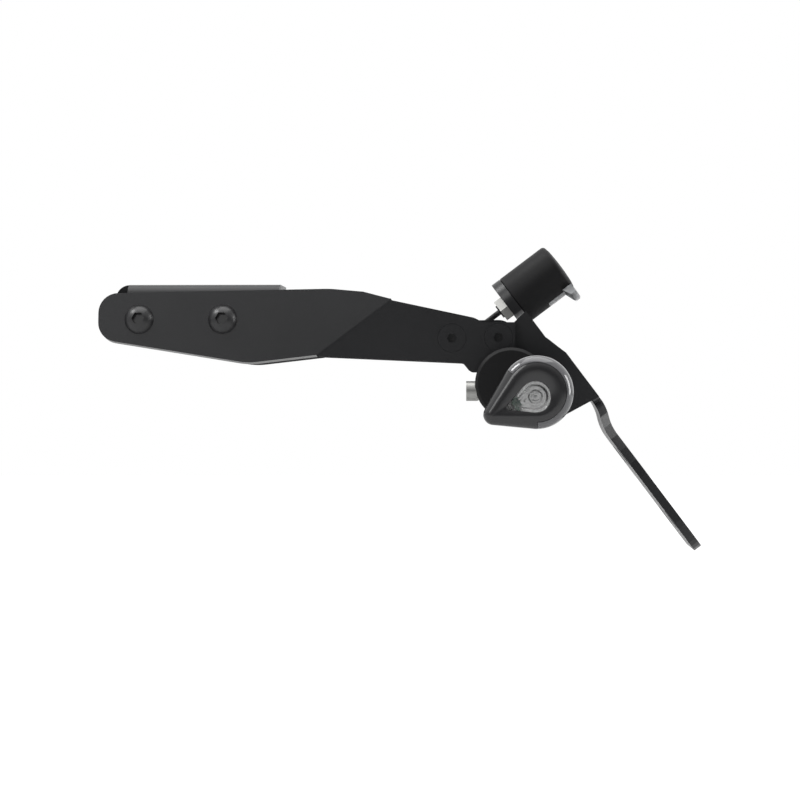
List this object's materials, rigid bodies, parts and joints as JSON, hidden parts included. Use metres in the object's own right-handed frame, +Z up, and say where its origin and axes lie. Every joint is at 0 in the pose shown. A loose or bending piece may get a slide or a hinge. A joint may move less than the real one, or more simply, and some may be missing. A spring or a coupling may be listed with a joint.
{
  "type": "tail tidy",
  "caption": "Folded sheet-metal number plate holder that bolts under a motorbike's tail, with a sloping plate hanger, a plate light and stalked indicators.",
  "frame": {"origin": "centre of the four mounting holes, on the mount plate's top face, which rests under the bike's tail", "axes": "+X to the rear of the bike, +Y to the bike's right-hand side, +Z up, out of the mounting face"},
  "size_m": [0.2138, 0.242, 0.1079],
  "materials": {
    "powder_coat": "fine satin powder coat over folded steel sheet",
    "black_fastener": "black passivated steel screws",
    "zinc": "bright zinc plate",
    "anodised": "satin black anodised, turned",
    "gloss_housing": "gloss black moulded housing",
    "rubber": "matt black rubber",
    "rear_lens": "smoked glossy lens",
    "clear_lens": "clear moulded lens",
    "chrome": "vacuum-metallised reflector",
    "board": "circuit board with LEDs",
    "nylon": "black nylon",
    "lead": "black PVC-sheathed lead"
  },
  "bodies": {
    "root": {"mount_plate": "powder_coat", "arm_left": "powder_coat", "arm_right": "powder_coat", "arm_bolts": "black_fastener", "arm_nuts": "zinc", "plate_carrier": "powder_coat", "carrier_screws": "black_fastener", "carrier_nuts": "zinc", "plate_hanger": "powder_coat", "hanger_screws": "black_fastener", "hanger_nuts": "zinc", "light_body": "anodised", "light_lens": "clear_lens", "light_board": "board", "light_nut": "zinc", "light_lead": "lead", "light_connector": "nylon", "lead_clips": "nylon", "indicator_block_left": "anodised", "indicator_block_right": "anodised", "indicator_screws": "zinc", "indicator_washers": "zinc", "indicator_nuts": "zinc", "indicator_stalk_left": "rubber", "indicator_stalk_right": "rubber", "indicator_housing_left": "gloss_housing", "indicator_housing_right": "gloss_housing", "indicator_reflector_left": "chrome", "indicator_reflector_right": "chrome", "indicator_led_left": "board", "indicator_led_right": "board", "indicator_lens_left": "rear_lens", "indicator_lens_right": "rear_lens", "indicator_window_left": "clear_lens", "indicator_window_right": "clear_lens"}
  },
  "joints": []
}
